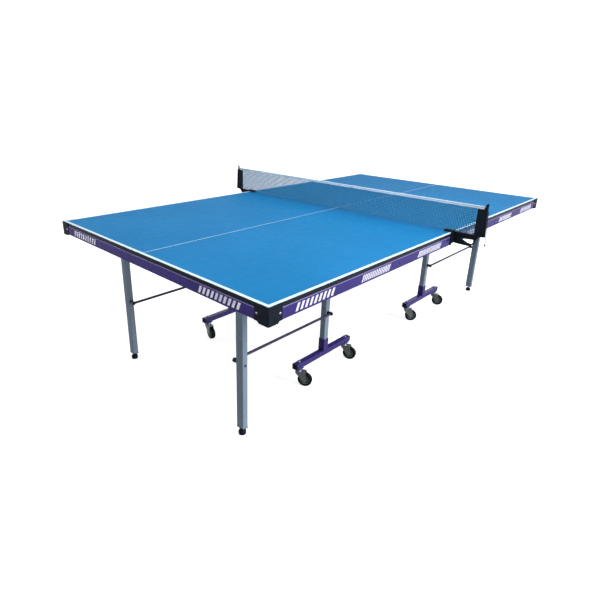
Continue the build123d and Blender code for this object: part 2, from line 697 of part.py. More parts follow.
# ================================================================ net
def make_net_post(side, sy):
    """Clamp, gusset and flat post of the net, pressed and welded from steel plate."""
    web_in = SIDE_Y + CLAMP_WEB_GAP
    web_out = web_in + CLAMP_WEB
    jaw_bottom = LOWER_JAW_Z + CLAMP_WEB
    post_low = NET_X - POST_THICK / 2
    with BuildPart() as post:
        with BuildSketch(end_plane(CLAMP_X_LOW, 0, 0)):
            with BuildLine():
                Polyline(
                    (sy * web_in, JAW_TOP),
                    (sy * web_in, jaw_bottom),
                    (sy * LOWER_JAW_Y, jaw_bottom),
                    (sy * LOWER_JAW_Y, LOWER_JAW_Z),
                    (sy * web_out, LOWER_JAW_Z),
                    (sy * web_out, JAW_TOP),
                    close=True,
                )
            make_face()
        extrude(amount=CLAMP_X_HIGH - CLAMP_X_LOW)
        with BuildSketch(end_plane(FINGER_X - FINGER_WIDTH / 2, 0, 0)):
            with BuildLine():
                Polyline(
                    (sy * JAW_TIP_Y, TABLE_HEIGHT),
                    (sy * web_out, TABLE_HEIGHT),
                    (sy * web_out, TABLE_HEIGHT + FINGER_THICK),
                    (sy * (JAW_TIP_Y + FINGER_CHAMFER), TABLE_HEIGHT + FINGER_THICK),
                    (sy * JAW_TIP_Y, TABLE_HEIGHT + FINGER_THICK - FINGER_CHAMFER),
                    close=True,
                )
            make_face()
        extrude(amount=FINGER_WIDTH)
        for radius, mode in ((CLAMP_PAD_R, Mode.ADD), (CLAMP_SCREW_R + STEM_CLEARANCE, Mode.SUBTRACT)):
            with BuildSketch(Plane.XY.offset(LOWER_JAW_Z - NUT_DROP)):
                with Locations((CLAMP_SCREW_X, sy * CLAMP_SCREW_Y)):
                    Circle(radius)
            extrude(amount=CLAMP_WEB + NUT_DROP + NUT_RISE, mode=mode)
        with BuildSketch(end_plane(post_low, 0, 0)):
            with BuildLine():
                Polyline(
                    (sy * (web_out - 1), JAW_TOP),
                    (sy * (web_out - 1), LOWER_JAW_Z),
                    *[(sy * y, z) for y, z in GUSSET_FOOT],
                    (sy * POST_OUTER_Y, JAW_TOP),
                    (sy * POST_TOP_OUTER_Y, POST_TOP_Z),
                    (sy * (POST_TOP_OUTER_Y + PEG_TAPER), POST_PEG_Z),
                    (sy * (POST_TOP_OUTER_Y - PEG_WIDTH + PEG_TAPER), POST_PEG_Z - PEG_SLOPE),
                    (sy * (POST_TOP_OUTER_Y - PEG_WIDTH), POST_TOP_Z),
                    (sy * POST_INNER_Y, POST_TOP_Z),
                    (sy * POST_INNER_Y, JAW_TOP),
                    close=True,
                )
            make_face()
            with BuildLine():
                Polyline(*[(sy * y, z) for y, z in GUSSET_WINDOW], close=True)
            make_face(mode=Mode.SUBTRACT)
        extrude(amount=POST_THICK)
        shelf_low = JAW_TOP - POST_THICK
        with BuildSketch(end_plane(post_low - SHELF_DEPTH, 0, 0)):
            with BuildLine():
                Polyline(
                    (sy * web_out, JAW_TOP),
                    (sy * web_out, shelf_low),
                    (sy * (POST_OUTER_Y - SHELF_END), shelf_low),
                    (sy * (POST_OUTER_Y - SHELF_END), JAW_TOP),
                    close=True,
                )
            make_face()
        extrude(amount=SHELF_DEPTH)
        rim_top = POST_TOP_Z - 4
        with BuildSketch(end_plane(post_low - RIM_DEPTH, 0, 0)):
            with BuildLine():
                Polyline(
                    (sy * POST_OUTER_Y, shelf_low),
                    (sy * POST_TOP_OUTER_Y, rim_top),
                    (sy * (POST_TOP_OUTER_Y - RIM_WIDTH), rim_top),
                    (sy * (POST_OUTER_Y - RIM_WIDTH), shelf_low),
                    close=True,
                )
            make_face()
        extrude(amount=RIM_DEPTH)
    finish(post, f"net_post_{side}")


def make_clamp_screw(side, sy):
    """Clamp screw: a lobed knob, a threaded stem and a swivel pad under the board."""
    knob_top = LOWER_JAW_Z - NUT_DROP - CLAMP_KNOB_GAP
    pad_low = BOARD_UNDER - SPACER_GAP - CLAMP_PAD_H
    with BuildPart() as screw:
        with BuildSketch(Plane.XY.offset(knob_top - CLAMP_KNOB_H)):
            with Locations((CLAMP_SCREW_X, sy * CLAMP_SCREW_Y)):
                Circle(CLAMP_KNOB_R - LOBE_R + 0.5)
                with PolarLocations(CLAMP_KNOB_R - LOBE_R, LOBES):
                    Circle(LOBE_R)
        extrude(amount=CLAMP_KNOB_H)
        with BuildSketch(Plane.XY.offset(knob_top)):
            with Locations((CLAMP_SCREW_X, sy * CLAMP_SCREW_Y)):
                Circle(CLAMP_SCREW_R)
        extrude(amount=pad_low - knob_top)
        with BuildSketch(Plane.XY.offset(pad_low)):
            with Locations((CLAMP_SCREW_X, sy * CLAMP_SCREW_Y)):
                Circle(CLAMP_PAD_R)
        extrude(amount=CLAMP_PAD_H)
    finish(screw, f"clamp_screw_{side}")


def make_net():
    """Net panel between the posts, with its upper edge inside the tape."""
    with BuildPart() as net:
        with BuildSketch(end_plane(NET_X, 0, (NET_BOTTOM + POST_TOP_Z) / 2)):
            Rectangle(2 * POST_INNER_Y, POST_TOP_Z - NET_BOTTOM)
        extrude(amount=NET_THICK / 2, both=True)
    finish(net, "net_mesh")


def make_tape():
    """Folded band over the top edge of the net and of both posts."""
    low = NET_TOP - TAPE_HEIGHT
    inside = POST_THICK + 0.4
    with BuildPart() as tape:
        with BuildSketch(end_plane(NET_X, 0, (low + NET_TOP) / 2)):
            Rectangle(2 * TAPE_HALF, TAPE_HEIGHT)
        extrude(amount=inside / 2 + TAPE_WALL, both=True)
        with BuildSketch(end_plane(NET_X, 0, (low + POST_TOP_Z) / 2)):
            Rectangle(2 * TAPE_HALF, POST_TOP_Z - low)
        extrude(amount=inside / 2, both=True, mode=Mode.SUBTRACT)
        top_edges = tape.edges().filter_by(Axis.Y).group_by(Axis.Z)[-1]
        fillet(top_edges, 1.5)
    finish(tape, "net_tape")


def make_cord():
    """Tension cord: straight runs down the post, joined by tangent arcs."""
    points = [(CORD_X, y, z) for y, z in CORD_ROUTE]
    vectors = [Vector(*point) for point in points]
    radii = []
    for before, here, after in zip(vectors, vectors[1:], vectors[2:]):
        turn = (here - before).get_angle(after - here)
        shorter = min((here - before).length, (after - here).length)
        radii.append(0.45 * shorter / tan(radians(turn / 2)))
    print("cord arc radii", [round(radius) for radius in radii])
    with BuildPart() as cord:
        with BuildLine():
            path = FilletPolyline(*points, radius=radii)
        with BuildSketch(Plane(origin=path @ 0, z_dir=path % 0)):
            Circle(CORD_R)
        sweep()
    tube = path.length * pi * CORD_R**2
    print("cord length", round(path.length, 1), "volume over tube", round(cord.part.volume / tube, 4))
    finish(cord, "net_cord")


def make_bead():
    """Bead on the free end of the tension cord."""
    end_y, end_z = CORD_ROUTE[-1]
    with BuildPart() as bead:
        with BuildSketch(side_plane(CORD_X, end_y, end_z)):
            with BuildLine():
                Line((0, 0), (BEAD_TOP_R, 0))
                ThreePointArc((BEAD_TOP_R, 0), (BEAD_R, -0.45 * BEAD_H), (BEAD_FOOT_R, -BEAD_H))
                Line((BEAD_FOOT_R, -BEAD_H), (0, -BEAD_H))
                Line((0, -BEAD_H), (0, 0))
            make_face()
        revolve(axis=Axis((CORD_X, end_y, end_z), (0, 0, 1)))
    finish(bead, "cord_bead")


for half_name, x_sign in HALVES.items():
    make_tabletop(half_name, x_sign)
    make_apron(half_name, x_sign)
    make_corner_caps(half_name, x_sign)
    make_cap_screws(half_name, x_sign)
    make_under_beams(half_name, x_sign)
    make_hinge_brackets(half_name, x_sign)
    make_hinge_bolts(half_name, x_sign)
    make_end_legs(half_name, x_sign)
    make_leg_plugs(half_name, x_sign)
    make_link_bolts(half_name, x_sign)
    make_link_rods(half_name, x_sign)
    make_uprights(half_name, x_sign)
    make_bases(half_name, x_sign)
    make_base_plugs(half_name, x_sign)
    make_caster_stems(half_name, x_sign)
    make_link_pins(half_name, x_sign)
    for side_name, y_sign in SIDES.items():
        make_leveller(half_name, x_sign, side_name, y_sign)
    for side_name, place, swivel_x, swivel_y in caster_places(x_sign):
        trail_angle = TRAIL_ANGLE[half_name, side_name, place]
        suffix = f"{half_name}_{side_name}_{place}"
        make_fork(f"fork_{suffix}", swivel_x, swivel_y, trail_angle)
        make_wheel(f"wheel_{suffix}", swivel_x, swivel_y, trail_angle)

for side_name, y_sign in SIDES.items():
    make_net_post(side_name, y_sign)
    make_clamp_screw(side_name, y_sign)
make_net()
make_tape()
make_cord()
make_bead()
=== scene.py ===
"""Looks of the rollaway ping pong table, in metres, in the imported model's own frame."""

import json
import math

import bmesh
import bpy
from mathutils import Matrix, Vector

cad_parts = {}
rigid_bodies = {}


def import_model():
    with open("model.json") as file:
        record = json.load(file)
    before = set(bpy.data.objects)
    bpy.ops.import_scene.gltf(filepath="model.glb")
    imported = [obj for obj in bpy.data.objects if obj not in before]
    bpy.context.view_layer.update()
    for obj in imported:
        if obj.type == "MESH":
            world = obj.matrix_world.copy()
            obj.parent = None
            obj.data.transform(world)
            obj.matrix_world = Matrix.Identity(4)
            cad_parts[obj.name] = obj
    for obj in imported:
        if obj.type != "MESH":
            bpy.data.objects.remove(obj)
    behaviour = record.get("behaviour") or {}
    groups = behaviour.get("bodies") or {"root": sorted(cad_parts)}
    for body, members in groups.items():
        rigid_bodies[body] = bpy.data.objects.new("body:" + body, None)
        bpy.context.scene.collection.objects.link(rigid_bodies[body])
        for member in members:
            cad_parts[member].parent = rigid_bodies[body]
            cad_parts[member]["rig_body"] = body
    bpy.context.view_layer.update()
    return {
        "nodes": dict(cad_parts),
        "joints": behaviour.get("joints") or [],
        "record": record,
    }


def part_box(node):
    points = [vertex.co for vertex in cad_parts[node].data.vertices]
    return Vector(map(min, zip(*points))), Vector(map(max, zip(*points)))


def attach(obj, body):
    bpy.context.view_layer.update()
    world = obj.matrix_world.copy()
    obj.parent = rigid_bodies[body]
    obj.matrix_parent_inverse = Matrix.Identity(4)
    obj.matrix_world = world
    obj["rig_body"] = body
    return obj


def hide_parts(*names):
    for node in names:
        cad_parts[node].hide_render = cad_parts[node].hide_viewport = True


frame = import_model()
scene = bpy.context.scene

HALVES = ("a", "b")
SIDES = ("right", "left")
PLACES = ("inner", "outer")
JOINTS = {joint["name"]: joint for joint in frame["joints"]}

# ---------------------------------------------------------------- camera
CAMERA_PLACE = (-2.325, -1.700, 1.368)
CAMERA_AZIMUTH = 46.82      # degrees from +Y towards +X
CAMERA_DOWN = 20.49         # degrees below the horizon
CAMERA_ROLL = 1.26          # degrees
CAMERA_LENS = 27.87         # millimetres on a 36 mm sensor
CAMERA_SHIFT = (0.0353, -0.0405)        # in sensor widths

# ---------------------------------------------------------------- board and apron
BOARD_BLUE = ((4, 109, 165), (12, 117, 175))
LINE_WIDTH = 0.015
CENTRE_LINE = 0.003
SEALED_EDGE = 0.0009        # the board's paint stops this far below its top
SEALED_UNDER = 0.0003       # and the bare underside reaches this far up
BAND_THICK = 0.0003
BAND_BELOW_TOP = 0.0006
BAND_ABOVE_UNDER = 0.0002
APRON_HIGHLIGHT_Z = 0.7392          # above this height the folded lip along the apron's top is coloured pale, a painted highlight where it catches the light

# ---------------------------------------------------------------- tension cord
CORD_RADIUS = 0.00125
CORD_X = -0.005
CORD_ROUTE = [              # (y, z) from the post's top down to the bead
    (-0.9124, 0.889), (-0.9146, 0.848), (-0.9176, 0.806), (-0.9210, 0.765), (-0.9220, 0.726),
]

# ---------------------------------------------------------------- net and tape
NET_PITCH = 0.0085
THREAD_WIDTH = 0.0026
FOOT_THREAD = 1.4           # the net's foot cord, in threads
NET_LIFT = 0.001            # the foot cord's middle, above the net's lowest point
NET_UNEVEN_Y, NET_UNEVEN_Z = 0.0007, 0.0006
TAPE_WALL = 0.0008
TAPE_SHOULDER, TAPE_CROWN, TAPE_LINING = 0.0027, 0.0008, 0.0015     # drops below the fold
TAPE_RIPPLE, TAPE_PINCH = 0.0005, 0.05
TAPE_STEPS = 120
# heights of a bluish band across the tape
TAPE_BLUE_BAND = (0.9045, 0.9068)
STITCH_PITCH, STITCH_LENGTH = 0.0065, 0.0042
STITCH_HEIGHTS = (0.0032, 0.0038)       # above the tape's lower edge
STITCH_IN, STITCH_PROUD = 0.0003, 0.0002

# ---------------------------------------------------------------- screws, welds and levellers
PAN_HEAD = [                # (radius, height) from the crown down
    (0, 0.0024), (0.0018, 0.0023), (0.0034, 0.0018), (0.0043, 0.0009), (0.0046, 0.0),
    (0.0046, -0.0003), (0, -0.0003),
]
RECESS_LENGTH, RECESS_HALF = 0.0024, 0.0004
RECESS_HEIGHTS = (0.0016, 0.00245)
CAP_SCREW_INSET = 0.055     # from the corner
UPRIGHT_Y = 0.370
UPRIGHT_BOLT_Z = 0.289
WELD_REACH = 0.0195         # from the upright's middle to the bead on each side
WELD_ACROSS = 0.81          # the bead's reach across the table, as a share of that
WELD_Z = 0.1292
WELD_RADIUS, WELD_RIPPLE = 0.0019, 0.0004
WELD_STEPS = 12
LEVELLER_FOOT = [           # (radius, height): sole, grip groove and dome
    (0, 0), (0.0152, 0), (0.0166, 0.0007), (0.0170, 0.0020), (0.0170, 0.0052), (0.0163, 0.0058),
    (0.0163, 0.0068), (0.0170, 0.0074), (0.0170, 0.0130), (0.0165, 0.0160), (0.0148, 0.0196),
    (0.0118, 0.0222), (0.0080, 0.0234), (0.0062, 0.0238), (0, 0.0238),
]
STEM_LOW = 0.0230           # the threaded stem starts inside the foot
STEM_ROOT, STEM_CREST, STEM_PITCH = 0.0044, 0.0050, 0.0015
STEM_THREAD_LOW = 0.0242
STEM_TIP = 0.0016           # no turn of the thread starts within this of the top

# ---------------------------------------------------------------- apron stripes, from the net outwards
SIDE_STRIPES = ((0.155, 0.390, 0.008), (0.632, 0.848, 0.008), (1.022, 1.242, 0.013))
END_STRIPES = ((0.398, 0.634, 0.013),)
STRIPE_LOW, STRIPE_HIGH = 0.705, 0.734
STRIPE_SLANT = 0.012
STRIPE_THICK = 0.00015
STRIPE_ROOT = 0.0001        # how far the bars reach into the apron
STRIPE_GAP = 0.7            # as a share of a bar's width

# ---------------------------------------------------------------- stage
FLOOR_GLOW = 0.72
FLOOR_REACH = 40.0
BACKDROP_GLOW = 1.03
BACKDROP_RADIUS = 70.0
WORLD_RAMPS = (             # axis, then from, to and the strengths at those ends
    (0, (-0.9, 0.15, 0.25, 1.03)),
    (2, (-0.16, -0.04, 0.45, 1.0)),
)
LIGHTS = (                  # name, place, aim, size, spread in degrees, power
    ("key_light", (0.6, -4.6, 3.2), (0, 0, 0.4), (2.4, 2.4), 180, 195.0),
    ("end_light", (-2.7, 2.4, 0.9), (-1.2, 0.45, 0.35), (0.8, 0.8), 180, 8.0),
    ("top_light", (-0.5, -0.95, 2.5), (0, -0.3, 0.8), (0.8, 0.8), 180, 14.0),
    ("low_light", (-3.2, -0.1, 1.05), (-0.6, 0, 0.83), (2.0, 0.25), 22, 1.1),
)


def make_camera():
    """A wide lens near the table's corner, looking down on it and a little rolled."""
    azimuth, down, roll = (math.radians(v) for v in (CAMERA_AZIMUTH, CAMERA_DOWN, CAMERA_ROLL))
    forward = Vector((
        math.sin(azimuth) * math.cos(down), math.cos(azimuth) * math.cos(down), -math.sin(down),
    ))
    level = forward.cross(Vector((0, 0, 1))).normalized()
    above = level.cross(forward)
    right = level * math.cos(roll) + above * math.sin(roll)
    up = above * math.cos(roll) - level * math.sin(roll)
    data = bpy.data.cameras.new("camera")
    data.lens = CAMERA_LENS
    data.sensor_width = 36.0
    data.shift_x, data.shift_y = CAMERA_SHIFT
    data.clip_start, data.clip_end = 0.05, 200.0
    camera = bpy.data.objects.new("camera", data)
    scene.collection.objects.link(camera)
    axes = Matrix((right, up, -forward)).transposed().to_4x4()
    camera.matrix_world = Matrix.Translation(CAMERA_PLACE) @ axes
    scene.camera = camera


make_camera()


# ================================================================ materials
def srgb(red, green, blue):
    """Linear colour from 8-bit values."""
    def linear(value):
        value /= 255
        return value / 12.92 if value <= 0.04045 else ((value + 0.055) / 1.055) ** 2.4

    return (linear(red), linear(green), linear(blue), 1.0)


class Graph:
    """One material's node tree, with a short call for each kind of node."""

    def __init__(self, name, roughness=0.5, metallic=0.0, **sockets):
        self.material = bpy.data.materials.new(name)
        self.material.use_nodes = True
        self.tree = self.material.node_tree
        self.shader = self.tree.nodes["Principled BSDF"]
        self.shader.inputs["Roughness"].default_value = roughness
        self.shader.inputs["Metallic"].default_value = metallic
        for socket, value in sockets.items():
            self.shader.inputs[socket.replace("_", " ")].default_value = value
        self.place = self.node("ShaderNodeTexCoord").outputs["Object"]

    def node(self, kind, **settings):
        made = self.tree.nodes.new(kind)
        for key, value in settings.items():
            setattr(made, key, value)
        return made

    def fill(self, socket, value):
        """Puts a constant or another node's output into a socket."""
        if isinstance(value, bpy.types.NodeSocket):
            self.tree.links.new(value, socket)
        else:
            socket.default_value = value

    def axes(self):
        made = self.node("ShaderNodeSeparateXYZ")
        self.fill(made.inputs[0], self.place)
        return made.outputs[0], made.outputs[1], made.outputs[2]

    def stretched(self, scale):
        made = self.node("ShaderNodeVectorMath", operation="MULTIPLY")
        self.fill(made.inputs[0], self.place)
        made.inputs[1].default_value = scale
        return made.outputs[0]

    def noise(self, scale, detail=2.0, rough=0.5, place=None):
        made = self.node("ShaderNodeTexNoise")
        self.fill(made.inputs["Vector"], place or self.place)
        made.inputs["Scale"].default_value = scale
        made.inputs["Detail"].default_value = detail
        made.inputs["Roughness"].default_value = rough
        return made.outputs[0]

    def cells(self, scale):
        made = self.node("ShaderNodeTexVoronoi")
        self.fill(made.inputs["Vector"], self.place)
        made.inputs["Scale"].default_value = scale
        return made.outputs["Distance"]

    def math(self, operation, first, second=0.0, third=0.0):
        made = self.node("ShaderNodeMath", operation=operation)
        for socket, value in zip(made.inputs, (first, second, third)):
            self.fill(socket, value)
        return made.outputs[0]

    def between(self, value, low, high, to_low=0.0, to_high=1.0):
        """Maps a value from low..high to to_low..to_high, clamped."""
        made = self.node("ShaderNodeMapRange")
        for index, number in enumerate((value, low, high, to_low, to_high)):
            self.fill(made.inputs[index], number)
        return made.outputs[0]

    def mix(self, factor, first, second):
        made = self.node("ShaderNodeMix", data_type="RGBA")
        self.fill(made.inputs[0], factor)
        self.fill(made.inputs[6], first)
        self.fill(made.inputs[7], second)
        return made.outputs[2]

    def bump(self, height, distance):
        """Adds a bump of so many metres to whatever bump the material already has."""
        made = self.node("ShaderNodeBump")
        made.inputs["Strength"].default_value = 1.0
        made.inputs["Distance"].default_value = distance
        self.fill(made.inputs["Height"], height)
        normal = self.shader.inputs["Normal"]
        if normal.is_linked:
            self.fill(made.inputs["Normal"], normal.links[0].from_socket)
        self.fill(normal, made.outputs[0])

    def glow(self, strength):
        self.shader.inputs["Emission Color"].default_value = (1.0, 1.0, 1.0, 1.0)
        self.shader.inputs["Emission Strength"].default_value = strength

    def colour(self, value):
        self.fill(self.shader.inputs["Base Color"], value)

    def rough(self, value):
        self.fill(self.shader.inputs["Roughness"], value)


def board_lacquer():
    """Matt blue lacquer with white lines on top, a dark sealed edge and a brown underside."""
    low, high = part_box("tabletop_a")
    far_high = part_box("tabletop_b")[1]
    g = Graph("board_lacquer", roughness=0.55, Specular_IOR_Level=0.05)
    x, y, z = g.axes()
    blue = g.mix(g.between(g.noise(2.2, 3.0), 0.3, 0.7), srgb(*BOARD_BLUE[0]), srgb(*BOARD_BLUE[1]))
    speckle = g.between(g.noise(1400.0, 1.0), 0.35, 0.65)
    blue = g.mix(g.math("MULTIPLY", speckle, 0.08), blue, srgb(70, 160, 216))
    white = g.mix(g.between(g.noise(60.0, 3.0), 0.3, 0.7), srgb(196, 218, 230), srgb(210, 229, 238))
    side_line = g.math("GREATER_THAN", g.math("ABSOLUTE", y), high.y - LINE_WIDTH)
    end_line = g.math("GREATER_THAN", g.math("ABSOLUTE", x), far_high.x - LINE_WIDTH)
    centre = g.math("LESS_THAN", g.math("ABSOLUTE", y), CENTRE_LINE / 2)
    lines = g.math("MAXIMUM", g.math("MAXIMUM", side_line, end_line), centre)
    top = g.mix(lines, blue, white)
    edge = g.mix(g.between(g.noise(90.0, 4.0), 0.35, 0.65), srgb(16, 22, 32), srgb(26, 32, 42))
    grain = g.noise(14.0, 6.0, 0.7, g.stretched((1.0, 9.0, 9.0)))
    under = g.mix(grain, srgb(62, 48, 38), srgb(98, 78, 60))
    colour = g.mix(g.math("GREATER_THAN", z, high.z - SEALED_EDGE), edge, top)
    colour = g.mix(g.math("LESS_THAN", z, low.z + SEALED_UNDER), colour, under)
    g.colour(colour)
    g.rough(g.between(g.noise(30.0, 4.0), 0.3, 0.7, 0.50, 0.60))
    g.bump(g.noise(900.0, 2.0), 0.00004)
    g.bump(lines, 0.00006)
    return g.material


def powder_coat(name, dark, light, roughness, peel=0.00005, specular=0.3, highlight_above=None):
    """Powder-coated steel: orange peel, slight tone drift and scuffs; above the given height, a pale
    painted highlight.
    """
    g = Graph(name, roughness=roughness, Specular_IOR_Level=specular)
    tone = g.mix(g.between(g.noise(5.0, 4.0), 0.3, 0.7), dark, light)
    scuff = g.between(g.noise(38.0, 6.0, 0.75, g.stretched((1.0, 1.0, 2.6))), 0.66, 0.74)
    worn = tuple(0.7 * value + 0.04 for value in light[:3]) + (1.0,)
    if highlight_above:
        # painted highlight: everything above the given height is coloured pale lavender, standing in for
        # the light caught by the apron's top lip
        tone = g.mix(g.math("GREATER_THAN", g.axes()[2], highlight_above), tone, srgb(142, 132, 190))
    g.colour(g.mix(g.math("MULTIPLY", scuff, 0.15), tone, worn))
    g.rough(g.between(g.noise(22.0, 5.0), 0.3, 0.7, roughness - 0.02, roughness + 0.02))
    g.bump(g.noise(620.0, 2.0), peel)
    return g.material


def zinc(name, dark, light, roughness):
    """Zinc-plated steel with cloudy spangle and fine drawn marks."""
    g = Graph(name, roughness=roughness, metallic=1.0)
    cloud = g.between(g.noise(70.0, 5.0, 0.6), 0.3, 0.7)
    g.colour(g.mix(cloud, dark, light))
    g.rough(g.between(g.noise(160.0, 4.0), 0.3, 0.7, roughness - 0.08, roughness + 0.12))
    g.bump(g.noise(300.0, 3.0, 0.6, g.stretched((6.0, 6.0, 1.0))), 0.00003)
    return g.material


def moulded(name, dark, light, roughness, grain=900.0, depth=0.00008):
    """Moulded plastic or rubber with a fine leathery grain."""
    g = Graph(name, roughness=roughness, Specular_IOR_Level=0.12)
    g.colour(g.mix(g.between(g.noise(45.0, 5.0), 0.3, 0.7), dark, light))
    g.rough(g.between(g.noise(60.0, 4.0), 0.3, 0.7, roughness - 0.06, roughness + 0.08))
    g.bump(g.cells(grain), depth)
    g.bump(g.noise(grain / 6, 3.0), depth * 0.6)
    return g.material


def woven(name, dark, light, pitch, depth, blue_band):
    """Woven cloth: crossed ribs at the yarn's pitch, with loose fibre noise and a bluish band between two
    given heights.
    """
    g = Graph(name, roughness=0.85, Sheen_Weight=0.2, Sheen_Roughness=0.5, Specular_IOR_Level=0.2)
    _, y, z = g.axes()
    turns = 2 * math.pi / pitch
    warp = g.math("SINE", g.math("MULTIPLY", y, turns))
    weft = g.math("SINE", g.math("MULTIPLY", z, turns))
    weave = g.math("MULTIPLY_ADD", g.math("MULTIPLY", warp, weft), 0.5, 0.5)
    fibre = g.noise(2600.0, 3.0, 0.7)
    cloth = g.mix(g.between(g.math("MULTIPLY", weave, fibre), 0.0, 0.4), dark, light)
    # bluish colour between the two given heights
    inside = g.math("MULTIPLY", g.math("GREATER_THAN", z, blue_band[0]), g.math("LESS_THAN", z, blue_band[1]))
    g.colour(g.mix(inside, cloth, srgb(120, 166, 208)))
    g.bump(weave, depth)
    g.bump(fibre, depth * 0.5)
    return g.material


def twisted(name, dark, light, pitch, depth):
    """Twisted thread or braid: slanting ribs along the thread."""
    g = Graph(name, roughness=0.8, Sheen_Weight=0.05, Sheen_Roughness=0.5, Specular_IOR_Level=0.1)
    x, y, z = g.axes()
    run = g.math("ADD", g.math("ADD", y, z), g.math("MULTIPLY", x, 2.0))
    ribs = g.math("MULTIPLY_ADD", g.math("SINE", g.math("MULTIPLY", run, 2 * math.pi / pitch)), 0.5, 0.5)
    g.colour(g.mix(g.math("MULTIPLY", ribs, g.noise(1500.0, 2.0)), dark, light))
    g.bump(ribs, depth)
    return g.material


def pale_floor():
    """Plain pale studio floor, lit a little from below like a light table."""
    g = Graph("studio_floor", roughness=0.8, Specular_IOR_Level=0.1)
    g.glow(FLOOR_GLOW)
    g.colour(g.mix(g.noise(1.5, 3.0), (0.78, 0.79, 0.80, 1.0), (0.80, 0.81, 0.82, 1.0)))
    return g.material


def white_backdrop():
    """Plain white surroundings, which give no light of their own."""
    g = Graph("studio_backdrop", roughness=1.0, Specular_IOR_Level=0.0)
    g.glow(BACKDROP_GLOW)
    g.colour((0.0, 0.0, 0.0, 1.0))
    g.material.cycles.emission_sampling = "NONE"
    return g.material


LOOKS = {
    "playing_board": board_lacquer(),
    "apron_paint": powder_coat(
        "apron_paint", srgb(48, 38, 116), srgb(58, 48, 132), 0.28, specular=0.5, highlight_above=APRON_HIGHLIGHT_Z,
    ),
    "black_plastic": moulded("black_plastic", srgb(20, 26, 38), srgb(30, 37, 50), 0.5),
    "zinc_steel": zinc("zinc_steel", (0.55, 0.56, 0.58, 1), (0.74, 0.75, 0.77, 1), 0.3),
    "frame_paint": powder_coat("frame_paint", srgb(30, 30, 36), srgb(40, 40, 46), 0.45),
    "leg_paint": powder_coat("leg_paint", srgb(126, 147, 170), srgb(138, 159, 182), 0.26, specular=0.6),
    "rod_paint": powder_coat("rod_paint", srgb(48, 38, 80), srgb(60, 50, 94), 0.32, specular=0.5),
    "black_steel": powder_coat("black_steel", srgb(22, 22, 28), srgb(34, 34, 40), 0.4),
    "caster_steel": zinc("caster_steel", (0.30, 0.35, 0.36, 1), (0.52, 0.57, 0.58, 1), 0.34),
    "wheel_rubber": moulded("wheel_rubber", srgb(17, 18, 20), srgb(28, 29, 31), 0.6, 1400.0),
    "post_paint": powder_coat("post_paint", srgb(13, 19, 30), srgb(22, 28, 40), 0.45, specular=0.15),
    "net_cloth": twisted("net_thread", srgb(46, 122, 164), srgb(68, 150, 198), 0.0022, 0.0001),
    "net_tape": woven("net_tape", srgb(208, 226, 238), srgb(230, 241, 250), 0.0011, 0.00008, TAPE_BLUE_BAND),
    "cord": twisted("cord_braid", srgb(30, 32, 38), srgb(66, 68, 76), 0.0024, 0.0002),
}
STRIPE_WHITE = moulded("stripe_white", srgb(228, 228, 244), srgb(242, 242, 252), 0.4, 300.0, 0.00002)
EDGE_BAND = powder_coat("edge_band", srgb(12, 20, 34), srgb(20, 28, 42), 0.3, specular=0.35)
HUB_GREY = moulded("hub_grey", srgb(84, 94, 96), srgb(112, 122, 124), 0.5, 1200.0)
# painted shade: near-black colour for the screws' cross recesses, where shade falls inside them
RECESS_SHADE = moulded("recess_shade", srgb(14, 14, 16), srgb(26, 26, 28), 0.6)
THREAD_GREY = twisted("thread_grey", srgb(150, 168, 190), srgb(188, 202, 218), 0.0012, 0.00005)


SLOTS = {part["node"]: part["material_slot"] for part in frame["record"]["subparts"]}


def dress_frame():
    """Gives every CAD node the look of its slot."""
    for name, node in frame["nodes"].items():
        if not node.material_slots:
            node.data.materials.append(LOOKS[SLOTS[name]])
        for place in node.material_slots:
            place.material = LOOKS[SLOTS[name]]


dress_frame()


# ================================================================ mesh helpers
def add_object(name, mesh, look, body, smooth=False):
    """Links a finished mesh as a piece that rides on a body; look is one material or several."""
    if smooth:
        for face in mesh.polygons:
            face.use_smooth = True
    for material in look if isinstance(look, tuple) else (look,):
        mesh.materials.append(material)
    piece = bpy.data.objects.new(name, mesh)
    scene.collection.objects.link(piece)
    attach(piece, body)
    return piece


def mesh_from(name, work):
    """Closes a bmesh into a new mesh."""
    bmesh.ops.recalc_face_normals(work, faces=work.faces)
    mesh = bpy.data.meshes.new(name)
    work.to_mesh(mesh)
    work.free()
    return mesh


def round_edges(piece, width, segments=2):
    """Bevels a piece's sharp edges, so that they catch the light."""
    bevel = piece.modifiers.new("rounded", "BEVEL")
    bevel.width = width
    bevel.segments = segments
    bevel.limit_method = "ANGLE"
    bevel.angle_limit = math.radians(38)
    bevel.harden_normals = True
    piece.modifiers.new("shading", "WEIGHTED_NORMAL")


def soften(node, width):
    """Stands a copy with rounded edges in for a CAD node."""
    source = frame["nodes"][node]
    work = bmesh.new()
    work.from_mesh(source.data)
    bmesh.ops.remove_doubles(work, verts=work.verts, dist=0.00001)
    bmesh.ops.dissolve_limit(work, angle_limit=math.radians(0.6), verts=work.verts, edges=work.edges)
    mesh = mesh_from(f"{node}_shape", work)
    slot = SLOTS[node]
    piece = add_object(f"{node}_shape", mesh, LOOKS[slot], source["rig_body"], smooth=True)
    round_edges(piece, width)
    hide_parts(node)


def stand_in(node, work, looks, body):
    """Stands a finished bmesh in for a CAD node, on a body; looks has one material for each slot."""
    piece = add_object(f"{node}_shape", mesh_from(f"{node}_shape", work), looks, body)
    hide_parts(node)


